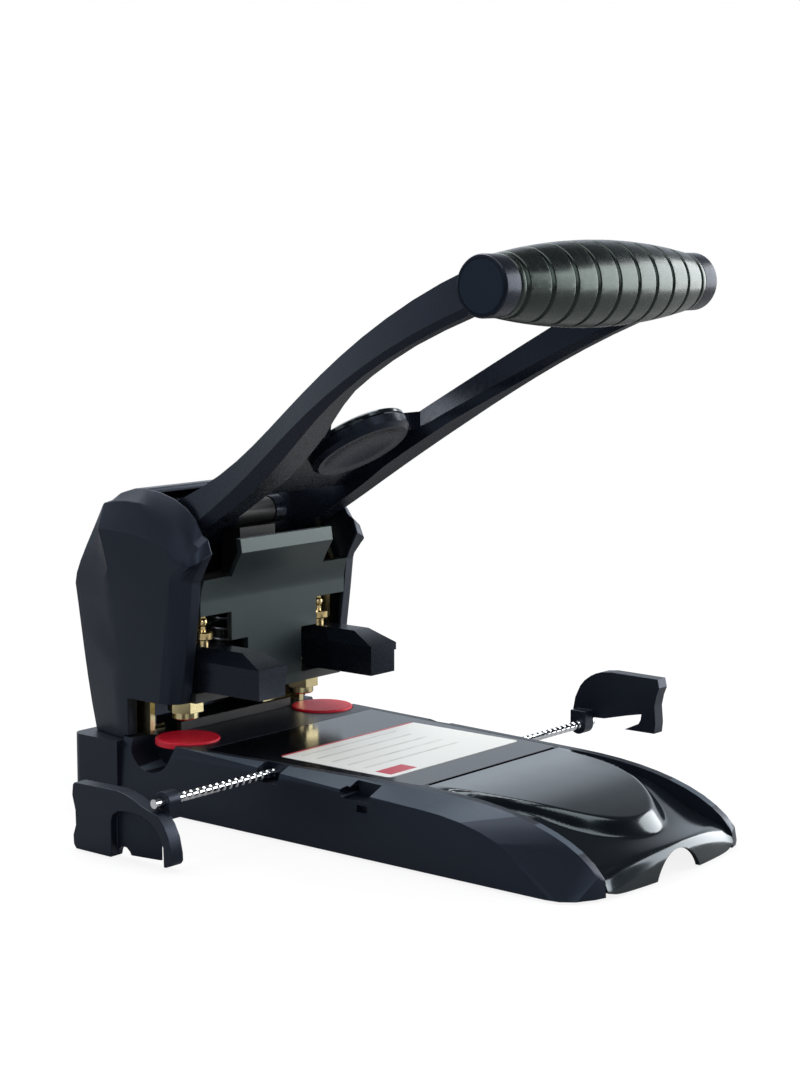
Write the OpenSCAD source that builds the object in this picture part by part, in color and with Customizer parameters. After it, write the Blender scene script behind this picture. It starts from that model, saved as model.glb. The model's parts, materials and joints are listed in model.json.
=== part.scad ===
// Heavy duty two-hole desk punch. Millimetres, +Z up.
// X runs across the machine with the middle plane at 0, Y runs from the front (-) to the rear (+)
// with the line through the two cutting discs at 0, and Z = 0 is the table under the rubber mat.

/* [Punching] */
// Distance between the axes of the two holes
hole_pitch = 80; // [74:1:84]
// Outer diameter of the hollow cutting tip
hole_d = 6; // [4:0.5:7]
// Distance from the line of the discs back to the punches
punch_y = 8; // [7.5:0.25:9]
// Diameter of the punch shank
shank_d = 8; // [7:0.5:8.5]
// Downward stroke of the punches
stroke = 10; // [7:0.5:10.5]
// Room left between the punch tips and the discs at the end of the stroke
tip_gap = 0.3; // [0.2:0.1:1]
// Swing of the handle over the full stroke, in degrees
handle_swing = 36; // [30:1:37]

/* [Base] */
// Width of the base at the table
base_w = 132; // [126:1:144]
// Height of the deck that the paper lies on
deck_z = 32; // [30:0.5:40]
// Height of the side shoulder below the deck
shoulder_drop = 5; // [3:0.5:7]
// Width of the deck beside the punches
deck_w_rear = 124; // [120:1:125]
// Width of the deck at the drawer
deck_w_front = 104; // [102:1:116]
// Distance from the discs to the front of the base
base_front = 239; // [225:1:260]
// Distance from the discs to the rear of the base
base_rear = 57; // [54:1:70]
// Width of the rear block under the tower
block_w = 134; // [128:1:146]
// Height of the rear block
block_z = 30.5; // [29:0.5:31.5]
// Distance from the discs to the front face of the rear block
block_front = 26; // [24:0.5:28]
// Thickness of the rubber mat
mat_t = 1.5; // [1:0.25:2]
// Thickness of the steel base plate
plate_t = 2; // [1.5:0.25:3]
// Gap between the table and the lower edge of the base shell
skirt_gap = 1; // [0.5:0.1:1.4]
// Thickness of the deck plate
deck_t = 1.5; // [1:0.25:2]

/* [Cutting discs] */
// Diameter of a cutting disc
disc_d = 30; // [26:0.5:32]
// Thickness of a cutting disc
disc_t = 3; // [2:0.5:5]
// Height of a disc above the deck
disc_proud = 1; // [0.5:0.25:2]
// Sideways distance from a disc's axis to its punch, so that turning it brings up fresh plastic
disc_shift = 6.8; // [4:0.2:7]
// Diameter of the stub that a disc turns on
disc_stub_d = 8; // [5:0.5:10]
// Radius of the finger scoop beside a disc
scoop_r = 13.7; // [10:0.1:15]

/* [Paper guides] */
// Diameter of the guide rods
rod_d = 4; // [3:0.25:5]
// Distance from the discs to the left rod
rod_left_y = 63; // [58:1:70]
// Distance from the discs to the right rod
rod_right_y = 110; // [100:1:118]
// Length of a guide rod
rod_len = 138; // [130:1:160]
// Reach of the left rod from the middle of the base
rod_left_reach = 130; // [120:1:140]
// Reach of the right rod from the middle of the base
rod_right_reach = 121; // [115:1:135]
// Thickness of a paper guide
guide_t = 7; // [5:0.5:10]
// Length of a paper guide behind its rod
guide_len = 49; // [40:1:60]
// Depth of the ring notches in the rods
ring_depth = 0.4; // [0.2:0.1:0.6]
// Distance between ring notches
ring_pitch = 3.9; // [3:0.1:6]

/* [Tower] */
// Distance between the inner faces of the two frame plates
frame_gap = 100; // [99:0.5:106]
// Thickness of a frame plate
frame_t = 3; // [2:0.5:4]
// Height of the throat above the table
throat_z = 50; // [49:0.5:54]
// Distance from the discs to the front edge of the frame post in the throat
post_front = 18; // [17:0.5:22]
// Thickness of the bridge that carries the bushes
bridge_t = 4.5; // [3:0.5:6]
// Distance from the discs to the handle's pivot
pivot_y = 20; // [18:0.5:24]
// Height of the handle's pivot
pivot_z = 128; // [126:0.5:132]
// Diameter of the pivot shaft
shaft_d = 12; // [9:0.5:14]
// Width of the tower over its side covers
tower_w = 123; // [120:0.5:128]
// Wall of the covers
cover_wall = 3; // [2:0.25:3.5]
// Thickness of the front cover
front_t = 3; // [2:0.25:3.5]
// Width of the front cover's lip between the arms
lip_w = 63; // [50:1:65]

/* [Release levers] */
// Width of a lever block
lever_w = 18.5; // [16:0.5:19]
// Distance from the discs to the front of a lever
lever_reach = 46.5; // [36:0.5:50]
// Height of a lever block below its roof
lever_h = 14; // [10:0.5:15]
// Height of the roof on a lever block
lever_roof = 6; // [3:0.5:6.5]
// Distance from the discs forwards to the posts that the levers turn on
lever_axis_y = 3; // [2.5:0.25:4]

/* [Handle] */
// Distance from the pivot to the grip, measured forwards
grip_fwd = 211.7; // [195:1:225]
// Height of the grip above the pivot
grip_up = 114; // [100:1:125]
// Width of the handle over its grip ends
handle_w = 153; // [146:1:170]
// Thickness of an arm's end beside the grip
arm_tip_w = 9.5; // [8:0.5:12]
// Width over the arms at the hub
hub_w = 98; // [94:0.5:98.5]
// Diameter of the hubs round the pivot shaft
hub_d = 26; // [22:0.5:28]
// Diameter of the grip at its middle
grip_d = 36; // [32:0.5:42]
// Diameter of the grip at its ends
grip_end_d = 25; // [24:0.5:30]
// Diameter of the steel core in the grip
core_d = 16; // [12:0.5:18]
// Number of grooves round the grip
groove_count = 10; // [6:1:10]
// Distance between the grooves
groove_pitch = 14; // [8:0.5:14]
// Diameter of the round boss between the arms
boss_d = 48; // [40:1:52]
// Diameter of the press roller
roller_d = 12; // [10:0.5:14]
// Diameter of the roller's pin
roller_pin_d = 6; // [4:0.5:7]

/* [Drawer] */
// Width of the drawer's hood
hood_w = 95.4; // [90:0.2:97]
// Distance from the discs to the rear edge of the hood
hood_rear = 142.7; // [140:0.1:150]
// Wall of the drawer
drawer_wall = 2; // [1.5:0.25:3]
// Height of the drawer's tray
tray_h = 18; // [10:0.5:19]
// Half width of the finger cut-out
finger_r = 16.4; // [12:0.2:18]
// Height of the finger cut-out
finger_h = 11.5; // [8:0.5:12.5]

/* [Fits] */
// Radial clearance of pieces that turn or slide in a bore
run_fit = 0.05; // [0.02:0.01:0.1]
// Clearance between pieces that pass each other
pass_gap = 0.3; // [0.2:0.05:0.6]

/* [Hidden] */
$fn = 64;
tiny = 0.01;
big = 400;
punch_x = hole_pitch / 2;

// Base levels and outline
plate_z = mat_t;
floor_z = mat_t + plate_t;
shoulder_z = deck_z - shoulder_drop;
base_half = base_w / 2;
shoulder_half = base_half - 1.5;
nose_start = -(base_front - 98);
rim_end = -(base_front - 3);
shoulder_end = -(base_front - 29);
bow_start = -(base_front - 28);
deck_taper_start = -9;
plate_half = base_half - 6;
plate_front = bow_start + 5;
plate_rear = base_rear - 7;
mat_inset = 3;
nose_power = 2.4;
bow_power = 4;
nose_steps = 14;

// Rods lie just under the deck plate
rod_z = deck_z - deck_t - rod_d / 2 - 1;
rod_bearing_half = base_half - 10;
notch_w = 13.5;
notch_left_y = rod_left_y + 3;
notch_right_y = rod_right_y + 8;
notch_floor = rod_z - rod_d / 2 - 0.8;

// Drawer and its channel in the base
channel_half = hood_w / 2 + pass_gap;
tray_half = hood_w / 2 - drawer_wall - 1.2;
cavity_half = tray_half + 0.8;
cavity_rear = -32;
tray_rear = cavity_rear - 10;
tray_front = nose_start - 55;
tray_z = floor_z + pass_gap;
hood_z = floor_z + pass_gap;

// Discs
disc_x = punch_x + disc_shift;
disc_top = deck_z + disc_proud;
disc_under = disc_top - disc_t;
disc_stub_len = 10;
scoop_y = 6.5;
scoop_x = base_half - 16;

// Tower levels, from the throat up
frame_in = frame_gap / 2;
frame_out = frame_in + frame_t;
bridge_top = throat_z + bridge_t;
bridge_front = -9;
bridge_rear = post_front - 1;
collar_t = 0.7;
bush_r = 6.2;
bush_collar_r = 7.5;
bush_under = throat_z - 10.5;
nut_h = 7;
nut_flats = 15;
lever_z = bridge_top + collar_t + pass_gap;
tip_z = disc_top + tip_gap + stroke;
tip_len = 12;
head_z = lever_z + lever_h + lever_roof + 2.5;
head_body_h = 4;
head_ball_r = 3;
crosshead_z = head_z + 13;
crosshead_h = 14;
crosshead_half = frame_in - 0.6;
crosshead_front = punch_y - 5;
crosshead_rear = punch_y + 6;
spring_x = 18;
spring_r = 5;
spring_wire = 1.4;
spring_turns = 7;
spring_post_r = 3;
lever_post_r = 3.5;

// The roller arm swings evenly above and below the level of the pivot
roller_arm = stroke / (2 * sin(handle_swing / 2));
roller_y = pivot_y - roller_arm * cos(handle_swing / 2);
roller_z = pivot_z + roller_arm * sin(handle_swing / 2);
post_top = roller_z - roller_d / 2 - pass_gap;
post_half = 12;
post_depth = 12;
cheek_in = post_half + 1;
cheek_out = cheek_in + 7;

// Covers
tower_half = tower_w / 2;
cover_gap = 0.3;
front_back = bridge_front;
front_half = frame_in - cover_gap;
notch_top_z = pivot_z - 20.7;
notch_low_z = notch_top_z - 17;
plate_low_z = head_z - 1;
tongue_half = 18.5;
notch_half = punch_x - 10.6;

// Handle
grip_y = pivot_y - grip_fwd;
grip_z = pivot_z + grip_up;
arm_out_hub = hub_w / 2;
arm_out_grip = handle_w / 2;
arm_in_grip = arm_out_grip - arm_tip_w;
splay_start = pivot_y - 42;
cap_t = 2;
cap_d = grip_end_d - 3.4;
sleeve_half = arm_in_grip - 0.1;
groove_w = 2.2;
groove_depth = 1.3;
boss_tilt = 33;
boss_fwd = 84;
boss_rise = 42;
boss_y = pivot_y - boss_fwd;
boss_z = pivot_z + boss_rise;
lid_t = 3.4;

// Colours, as the machine shows them
black_plastic = "#23272e";
grey_cover = "#3c4442";
gloss_dark = "#2b3033";
yellow_zinc = "#c9b060";
bright_steel = "#c8ccd0";
black_steel = "#1d1e21";
brass_tone = "#c8a24a";
disc_red = "#d3222f";
rubber_black = "#1a1b1d";

// Shared helpers

// Puts a piece drawn on the right (+X) on the side s: 1 right, -1 left
module on_side(s) {
    if (s > 0) children();
    else mirror([1, 0, 0]) children();
}

// Draws a piece on both sides
module both_sides() {
    children();
    mirror([1, 0, 0]) children();
}

// Box from its lowest to its highest corner
module box(low, high) {
    translate(low) cube(high - low);
}

// Cylinder along X from x0 to x1 about the line (y, z)
module along_x(x0, x1, y, z, r) {
    translate([x0, y, z]) rotate([0, 90, 0]) cylinder(h = x1 - x0, r = r);
}

// Extrudes an outline drawn in (y, z) along X from x0 to x1
module profile_x(x0, x1) {
    translate([x0, 0, 0]) rotate([90, 0, 90]) linear_extrude(x1 - x0) children();
}

// Turns a (radius, x) outline about the X line through (y, z)
module turned_x(y, z) {
    translate([0, y, z]) rotate([0, 90, 0]) rotate_extrude() children();
}

// Upright post from z0 to z1
module post(x, y, z0, z1, r) {
    translate([x, y, z0]) cylinder(h = z1 - z0, r = r);
}

// Solid through slices with equal numbers of points, each counter-clockwise seen from the last slice
module loft(slices) {
    n = len(slices[0]);
    last = len(slices) - 1;
    walls = [for (k = [0 : last - 1], j = [0 : n - 1]) let (
            a = k * n + j, b = k * n + (j + 1) % n, c = a + n, d = b + n)
        each [[a, d, b], [a, c, d]]];
    polyhedron([for (s = slices) each s],
        concat(walls, [[for (j = [0 : n - 1]) j]], [[for (j = [n - 1 : -1 : 0]) last * n + j]]));
}

function clamp01(v) = min(1, max(0, v));
function mix(a, b, t) = a + (b - a) * t;
function bezier(p, t) = pow(1 - t, 3) * p[0] + 3 * pow(1 - t, 2) * t * p[1]
    + 3 * (1 - t) * t * t * p[2] + pow(t, 3) * p[3];
function curve(p, n) = [for (i = [0 : n]) bezier(p, i / n)];
function reversed(p) = [for (i = [len(p) - 1 : -1 : 0]) p[i]];

// Base

// Share of the height left as the nose falls away from its start to its end
function fall(y, from, to) = sqrt(max(0, 1 - pow(clamp01((from - y) / (from - to)), nose_power)));
function floor_half(y) = base_half
    * sqrt(max(0, 1 - pow(clamp01((bow_start - y) / (bow_start + base_front)), bow_power)));
function deck_half(y) = mix(deck_w_rear, deck_w_front,
    clamp01((deck_taper_start - y) / (deck_taper_start - nose_start))) / 2;
function rim_z(y) = max(deck_z * fall(y, nose_start, rim_end), skirt_gap + 0.4);
function shoulder_at(y) = max(shoulder_z * fall(y, nose_start, shoulder_end), skirt_gap + 0.2);

// Half of a cross-section of the base at the distance y
function base_section(y) = let (
        f = max(floor_half(y), 1),
        s = min(shoulder_half, f - 0.2),
        d = min(deck_half(y), f - 0.4))
    [[f, skirt_gap], [s, shoulder_at(y)], [d, rim_z(y)]];

module base_slice(y) {
    half = base_section(y);
    other = [for (p = reversed(half)) [-p[0], p[1]]];
    translate([0, y, 0]) rotate([90, 0, 0]) linear_extrude(tiny) polygon(concat(half, other));
}

module base_form() {
    nose_end = -base_front + 1;
    hull() {
        base_slice(block_front);
        base_slice(deck_taper_start);
        for (i = [0 : nose_steps]) base_slice(mix(nose_start, nose_end, sin(90 * i / nose_steps)));
    }
}

module rear_block() {
    r = 6;
    hx = block_w / 2 - r;
    translate([0, 0, skirt_gap]) linear_extrude(block_z - skirt_gap) {
        for (x = [-hx, hx]) translate([x, base_rear - r]) circle(r);
        translate([-hx - r, block_front]) square([2 * (hx + r), base_rear - r - block_front]);
        translate([-hx, block_front]) square([2 * hx, base_rear - block_front]);
    }
}

function deck_outline(inset) = let (
        y0 = cavity_rear + 10,
        y1 = -hood_rear + 2.2,
        h0 = deck_half(y0) - 3 - inset,
        h1 = deck_half(y1) - 3 - inset)
    [[h0, y0 - inset], [-h0, y0 - inset], [-h1, y1 + inset], [h1, y1 + inset]];

latch_depth = 4;
latch_top = notch_floor - 1.4;
latch_h = 3;
foot_bolt_x = frame_in - 8;
foot_bolt_ys = [block_front + 7, block_front + 17];
foot_bolt_r = 3;
foot_bolt_depth = 14;
base_screw_x = (channel_half + plate_half) / 2;
base_screw_ys = [plate_front + 20, plate_rear - 12];
base_screw_r = 1.6;
base_screw_depth = 10;

module base_shell() {
    color(black_plastic) difference() {
        union() {
            base_form();
            rear_block();
        }
        box([-plate_half - 0.2, plate_front - 0.2, -1], [plate_half + 0.2, plate_rear + 0.2, floor_z]);
        box([-channel_half, -base_front - 10, -1], [channel_half, -hood_rear + pass_gap, deck_z + 10]);
        box([-cavity_half, -hood_rear - 1, 0], [cavity_half, cavity_rear, deck_z + 1]);
        translate([0, 0, deck_z - deck_t]) linear_extrude(deck_t + 5) polygon(deck_outline(0));
        both_sides() {
            post(disc_x, 0, disc_under - pass_gap, deck_z + 10, disc_d / 2 + pass_gap);
            post(disc_x, 0, disc_under - disc_stub_len - pass_gap, deck_z, disc_stub_d / 2 + run_fit);
            along_x(scoop_x, base_half + 10, scoop_y, deck_z, scoop_r);
            for (y = [notch_left_y, notch_right_y])
                box([rod_bearing_half, -y - notch_w / 2, notch_floor],
                    [base_half + 5, -y + notch_w / 2, deck_z + 5]);
            box([base_half - latch_depth, -notch_right_y - notch_w / 2 + 1, latch_top - latch_h],
                [base_half + 5, -notch_right_y, latch_top]);
            for (y = foot_bolt_ys)
                post(foot_bolt_x, y, block_z - foot_bolt_depth, block_z + 5, foot_bolt_r);
            for (y = base_screw_ys)
                post(base_screw_x, y, floor_z - 1, floor_z + base_screw_depth, base_screw_r);
        }
        for (y = [rod_left_y, rod_right_y])
            along_x(-big, big, -y, rod_z, rod_d / 2 + run_fit);
    }
}

module base_plate() {
    color(bright_steel) difference() {
        box([-plate_half, plate_front, plate_z], [plate_half, plate_rear, floor_z]);
        both_sides() for (y = base_screw_ys)
            post(base_screw_x, y, plate_z - 1, floor_z + 1, base_screw_r);
    }
}

screw_head_r = 3.5;
screw_head_h = 1.1;

module base_mat() {
    color(rubber_black) difference() {
        box([-plate_half + mat_inset, plate_front + mat_inset, 0],
            [plate_half - mat_inset, plate_rear - mat_inset, mat_t]);
        both_sides() for (y = base_screw_ys)
            post(base_screw_x, y, -1, mat_t + 1, screw_head_r + 0.5);
    }
}

module base_screws() {
    color(bright_steel) both_sides() for (y = base_screw_ys) {
        post(base_screw_x, y, plate_z - min(screw_head_h, mat_t - 0.3), plate_z, screw_head_r);
        post(base_screw_x, y, plate_z, floor_z + base_screw_depth - 1, base_screw_r);
    }
}

module deck_plate() {
    color(black_plastic) translate([0, 0, deck_z - deck_t]) linear_extrude(deck_t)
        polygon(deck_outline(0.2));
}

stop_half = punch_x - 2;
stop_front = 13;
stop_t = 2.5;
stop_h = 4.5;

module paper_stop() {
    color(bright_steel)
        box([-stop_half, stop_front, deck_z], [stop_half, stop_front + stop_t, deck_z + stop_h]);
}

// Tower frame

ear_r = shaft_d / 2 + 5;
frame_front = -2.5;
frame_tab_front = -9;
frame_rear = base_rear - 9.5;

// C-shaped outline with the throat open to the front and an ear round the pivot shaft
module frame_outline() {
    difference() {
        union() {
            polygon([
                [frame_front, throat_z], [post_front, throat_z], [post_front, deck_z + 0.2],
                [block_front + 0.3, deck_z + 0.2], [block_front + 0.3, block_z], [frame_rear, block_z],
                [frame_rear + 2, pivot_z - 28], [pivot_y + ear_r, pivot_z],
                [pivot_y - ear_r, pivot_z], [frame_front, notch_top_z]
            ]);
            polygon([[frame_front, notch_low_z + 1], [frame_front, notch_top_z - 1],
                [frame_tab_front, notch_top_z - 1], [frame_tab_front, notch_low_z + 1]]);
            translate([pivot_y, pivot_z]) circle(ear_r);
        }
        translate([pivot_y, pivot_z]) circle(shaft_d / 2);
    }
}

flange_in = foot_bolt_x - 8;
flange_t = 3;
bridge_screw_ys = [bridge_front + 9, bridge_rear - 3];
bridge_screw_r = 1.5;
bridge_screw_in = frame_in - 4.5;

module frame_plate(s) {
    color(yellow_zinc) on_side(s) difference() {
        union() {
            profile_x(frame_in, frame_out) frame_outline();
            box([flange_in, block_front + 2, block_z],
                [frame_in + tiny, frame_rear - 0.3, block_z + flange_t]);
        }
        for (y = foot_bolt_ys) post(foot_bolt_x, y, block_z - 1, block_z + flange_t + 1, foot_bolt_r);
        for (y = bridge_screw_ys)
            along_x(frame_in - 1, frame_out + 1, y, throat_z + bridge_t / 2, bridge_screw_r);
    }
}

module frame_left() frame_plate(-1);
module frame_right() frame_plate(1);

bolt_head_h = 4;

module foot_bolts() {
    color(bright_steel) both_sides() for (y = foot_bolt_ys) {
        top = block_z + flange_t;
        post(foot_bolt_x, y, block_z - foot_bolt_depth + 1, top, foot_bolt_r);
        translate([foot_bolt_x, y, top]) cylinder(h = bolt_head_h, r = foot_bolt_r * 1.8, $fn = 6);
    }
}

module lower_bridge() {
    color(black_steel) difference() {
        box([-frame_in, bridge_front, throat_z], [frame_in, bridge_rear, bridge_top]);
        both_sides() {
            post(punch_x, punch_y, throat_z - 1, bridge_top + 1, bush_r);
            post(punch_x, -lever_axis_y, throat_z - 1, bridge_top + 1, lever_post_r);
            post(spring_x, punch_y, throat_z - 1, bridge_top + 1, spring_post_r);
            for (y = bridge_screw_ys)
                along_x(bridge_screw_in, frame_in + 1, y, throat_z + bridge_t / 2, bridge_screw_r);
        }
    }
}

bridge_screw_head = 1.8;

module bridge_screws() {
    color(bright_steel) both_sides() for (y = bridge_screw_ys) {
        along_x(bridge_screw_in + 0.5, frame_out, y, throat_z + bridge_t / 2, bridge_screw_r);
        along_x(frame_out, frame_out + bridge_screw_head, y, throat_z + bridge_t / 2, bridge_screw_r * 1.9);
    }
}

module guide_bush(s) {
    bore = shank_d / 2 + run_fit;
    color(yellow_zinc) on_side(s) translate([punch_x, punch_y, 0]) rotate_extrude() polygon([
        [bore, bush_under], [bush_r - 0.6, bush_under], [bush_r, bush_under + 0.6],
        [bush_r, bridge_top], [bush_collar_r, bridge_top], [bush_collar_r, bridge_top + collar_t],
        [bore, bridge_top + collar_t]
    ]);
}

module guide_bush_left() guide_bush(-1);
module guide_bush_right() guide_bush(1);

module guide_nut(s) {
    color(yellow_zinc) on_side(s) translate([punch_x, punch_y, throat_z - nut_h]) difference() {
        cylinder(h = nut_h, r = nut_flats / 2 / cos(30), $fn = 6);
        translate([0, 0, -1]) cylinder(h = nut_h + 2, r = bush_r);
    }
}

module guide_nut_left() guide_nut(-1);
module guide_nut_right() guide_nut(1);

clip_t = 1.2;
shaft_half = frame_out + clip_t + 1;

module pivot_shaft() {
    color(black_steel) along_x(-shaft_half, shaft_half, pivot_y, pivot_z, shaft_d / 2);
}

module shaft_clips() {
    color(bright_steel) both_sides() difference() {
        along_x(frame_out, frame_out + clip_t, pivot_y, pivot_z, shaft_d / 2 + 2.5);
        along_x(frame_out - 1, frame_out + clip_t + 1, pivot_y, pivot_z, shaft_d / 2);
    }
}

spring_room = crosshead_z - bridge_top;
spring_post_top = crosshead_z - stroke - 2;

module spring_posts() {
    color(black_steel) both_sides() post(spring_x, punch_y, throat_z, spring_post_top, spring_post_r);
}

// Coil springs, one unbroken tube with flat seats at both ends

spring_rings = 8;
spring_sides = 6;
spring_z0 = bridge_top + spring_wire / 2 + 0.05;
spring_rise = spring_room - spring_wire - 0.1;
function spring_point(k) = let (a = 360 * k / spring_rings)
    [spring_r * cos(a), spring_r * sin(a), spring_z0 + spring_rise * k / (spring_rings * spring_turns)];
spring_path = [for (k = [0 : spring_rings * spring_turns]) spring_point(k)];
function spring_ring(k) = let (
        a = 360 * k / spring_rings,
        out = [cos(a), sin(a), 0])
    [for (j = [0 : spring_sides - 1]) let (b = 360 * j / spring_sides)
        spring_path[k] + spring_wire / 2 * (cos(b) * out + sin(b) * [0, 0, 1])];
// Least gap between one turn and the next, measured on the points of the path
spring_gap = min([for (k = [0 : spring_rings * (spring_turns - 1)])
    norm(spring_path[k + spring_rings] - spring_path[k])]) - spring_wire;
echo(spring_gap = spring_gap);

module return_spring(s) {
    last = spring_rings * spring_turns;
    points = [for (k = [0 : last]) each spring_ring(k)];
    n = spring_sides;
    walls = [for (k = [0 : last - 1], j = [0 : n - 1]) let (
            a = k * n + j, b = k * n + (j + 1) % n, c = a + n, d = b + n)
        each [[a, d, b], [a, c, d]]];
    start = [for (j = [1 : n - 2]) [0, j, j + 1]];
    end = [for (j = [1 : n - 2]) [last * n, last * n + j + 1, last * n + j]];
    color(bright_steel) on_side(s) translate([spring_x, punch_y, 0])
        polyhedron(points, concat(walls, start, end));
}

module return_spring_left() return_spring(-1);
module return_spring_right() return_spring(1);

// Covers

// Curves of the covers in (y, z), w insets the wall: up to a bulge, and from there to the top corner
bulge_out = 10.8;
bulge_under = 27;
function cover_rear(w) = let (
        bulge = [base_rear + bulge_out - w, pivot_z - bulge_under],
        low = curve([[base_rear - 3 - w, block_z], [base_rear + 4 - w, block_z + 24.5],
            [base_rear + 7.5 - w, bulge[1] - 17], bulge], 6),
        high = curve([bulge, [bulge[0] - 0.3, bulge[1] + 7], [pivot_y + 38 - w, pivot_z - 9],
            [pivot_y + 24.5 - w, pivot_z + 12 - w]], 5))
    concat(low, [for (i = [1 : 5]) high[i]]);
// Rear edge of a side cover's flat outer face
cover_crease = curve([[block_front + 1, block_z], [block_front + 4, block_z + 35],
    [pivot_y + 8, pivot_z - 35], [pivot_y + 22.5, pivot_z]], 11);
function cover_top(start, drop, inset) = curve([start, [pivot_y + 10, pivot_z + 25 - drop],
    [pivot_y - 28 + inset, pivot_z + 19 - 0.8 * drop],
    [pivot_y - 34.6 + inset, pivot_z + 0.4 - 0.4 * drop]], 8);
// Front edge with its beak under the top, as far back as inset
function cover_front(drop, inset) = [for (p = [
        [-38, -1.2 - 0.4 * drop], [-40.5, -8 - 0.25 * drop], [-35.5, -17], [-33.3, -21.5], [-31.5, -37],
        [-29.5, throat_z - pivot_z + 26], [-26, throat_z - pivot_z]])
    [pivot_y + p[0] + inset, pivot_z + p[1]]];
function cover_upper(rear, drop, inset) = let (
        end = rear[len(rear) - 1],
        top = cover_top(end, drop, inset))
    concat(rear, [for (i = [1 : len(top) - 1]) top[i]], cover_front(drop, inset));
// Under the throat, back to the leg that stands on the rear block
cover_leg = [[block_front - 2, throat_z], [block_front - 2, deck_z + pass_gap],
    [block_front + pass_gap, deck_z + pass_gap], [block_front + pass_gap, block_z]];

// Slices of a side cover: share of its depth, drop of the top, inset of the front, turn of the rear edge
cover_slices = [[0, 0, 0, 0], [0.48, 9, 0.8, 0.08], [0.7, 15.6, 2.4, 0.47], [0.87, 20.6, 4.8, 0.77],
    [1, 24.5, 9.5, 1]];

function cover_slice(slice) = let (
        x = mix(frame_in + tiny, tower_half, slice[0]),
        rear = cover_rear(0),
        edge = [for (j = [0 : len(rear) - 1]) mix(rear[j], cover_crease[j], slice[3])])
    [for (p = concat(cover_upper(edge, slice[1], slice[2]), cover_leg)) [x, p[0], p[1]]];

module side_cover(s) {
    cavity_x = mix(frame_in, tower_half, cover_slices[1][0]);
    rooms = [for (r = [[frame_in - 1, cover_wall + 1], [cavity_x, cover_wall + cover_slices[1][1]]]) let (
            room = cover_upper(cover_rear(cover_wall + 1), r[1], 2),
            below = [for (p = [room[len(room) - 1], room[0]]) [p[0], block_z - 5]])
        [for (p = concat(room, below)) [r[0], p[0], p[1]]]];
    color(black_plastic) on_side(s) resize([tower_half - frame_in - tiny, 0, 0]) difference() {
        loft([for (slice = cover_slices) cover_slice(slice)]);
        loft(rooms);
    }
}

module side_cover_left() side_cover(-1);
module side_cover_right() side_cover(1);

// Strip along the rear curve between the side covers, curled over at the top
module rear_cover() {
    back = cover_rear(0);
    room = cover_rear(cover_wall);
    curl = [1 : 3];
    outer = concat(back, [for (i = curl) cover_top(back[len(back) - 1], 0, 0)[i]]);
    inner = concat(room, [for (i = curl) cover_top(room[len(room) - 1], cover_wall, 0)[i]]);
    color(black_plastic) profile_x(-front_half, front_half) polygon(concat(outer, reversed(inner)));
}

lip_under = 9.5;
lip_z = pivot_z - lip_under;
lip_top = pivot_z - 3;
lip_lean = 9;

// Upright plate whose top leans forwards to a lip, in (y, z)
module front_profile() {
    bend = curve([[front_back - front_t, notch_low_z + 6], [front_back - front_t, notch_top_z - 3],
        [front_back - front_t - lip_lean * 0.5, notch_top_z + 4],
        [front_back - front_t - lip_lean, lip_z]], 8);
    back = [for (p = reversed(bend)) [p[0] + front_t, p[1]]];
    polygon(concat(
        [[front_back, throat_z + 0.5], [front_back - front_t, throat_z + 0.5]], bend,
        [[front_back - front_t - lip_lean + 1, lip_top], [front_back - lip_lean + 1, lip_top]], back));
}

module front_cover() {
    color(grey_cover) difference() {
        profile_x(-front_half, front_half) front_profile();
        both_sides() {
            box([lip_w / 2, -big, notch_top_z], [big, big, big]);
            box([notch_half, -big, 0], [big, big, notch_low_z]);
            box([tongue_half, -big, 0], [big, big, plate_low_z]);
        }
    }
}

// Handle

// Lines along the side of an arm in (y, z): its top edge, the crease where it is widest and its lower edge
arm_high = [[pivot_y + 8, pivot_z + 6], [pivot_y - 60, pivot_z + 25],
    [pivot_y - 120, pivot_z + 90], [grip_y + 7, grip_z + 7]];
arm_mid = [[pivot_y - 8, pivot_z - 9], [pivot_y - 65, pivot_z + 29],
    [pivot_y - 125, pivot_z + 77], [grip_y + 7, grip_z - 8]];
arm_low = [[pivot_y - 7, pivot_z - 11.5], [pivot_y - 90.7, pivot_z + 30.7],
    [pivot_y - 111.6, pivot_z + 69.2], [grip_y + 8, grip_z - 11.5]];
// Outer edge in (x, y)
arm_out = [[arm_out_hub, splay_start], [arm_out_hub + 1, splay_start - 43],
    [arm_out_grip - 1, splay_start - 68], [arm_out_grip, grip_y]];
arm_steps = 16;
out_table = [for (p = curve(arm_out, 24)) [-p[1], p[0]]];
// Widths along the arm, from its hub (0) to the grip (1)
top_widths = [[0, 13], [0.34, 13], [0.54, 11], [1, arm_tip_w]];
mid_widths = [[0, 16], [0.04, 16], [0.14, 20], [0.34, 19], [0.42, 16], [0.54, 13], [0.8, 11],
    [1, arm_tip_w]];
low_widths = [[0, 15.5], [0.04, 15.5], [0.14, 19.5], [0.34, 18], [0.42, 14.3], [0.54, 9.5], [0.78, 8],
    [1, arm_tip_w]];
arm_chamfer_top = 3;
arm_chamfer_low = 2.5;

function arm_slice(t) = let (
        high = bezier(arm_high, t),
        mid = bezier(arm_mid, t),
        low = bezier(arm_low, t),
        x = lookup(-mid[0], out_table),
        u = clamp01((splay_start - mid[0]) / (splay_start - grip_y)))
    [[x - arm_chamfer_low, low[0], low[1]], [x, mid[0], mid[1]], [x - arm_chamfer_top, high[0], high[1]],
        [x - lookup(u, top_widths), high[0], high[1]], [x - lookup(u, mid_widths), mid[0], mid[1]],
        [x - lookup(u, low_widths), low[0], low[1]]];
arm_slices = [for (i = [0 : arm_steps]) arm_slice(i / arm_steps)];

module arm() {
    loft(arm_slices);
}

web_t = 8;
web_start = splay_start - 4;
web_end = boss_y - 4;

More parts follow.
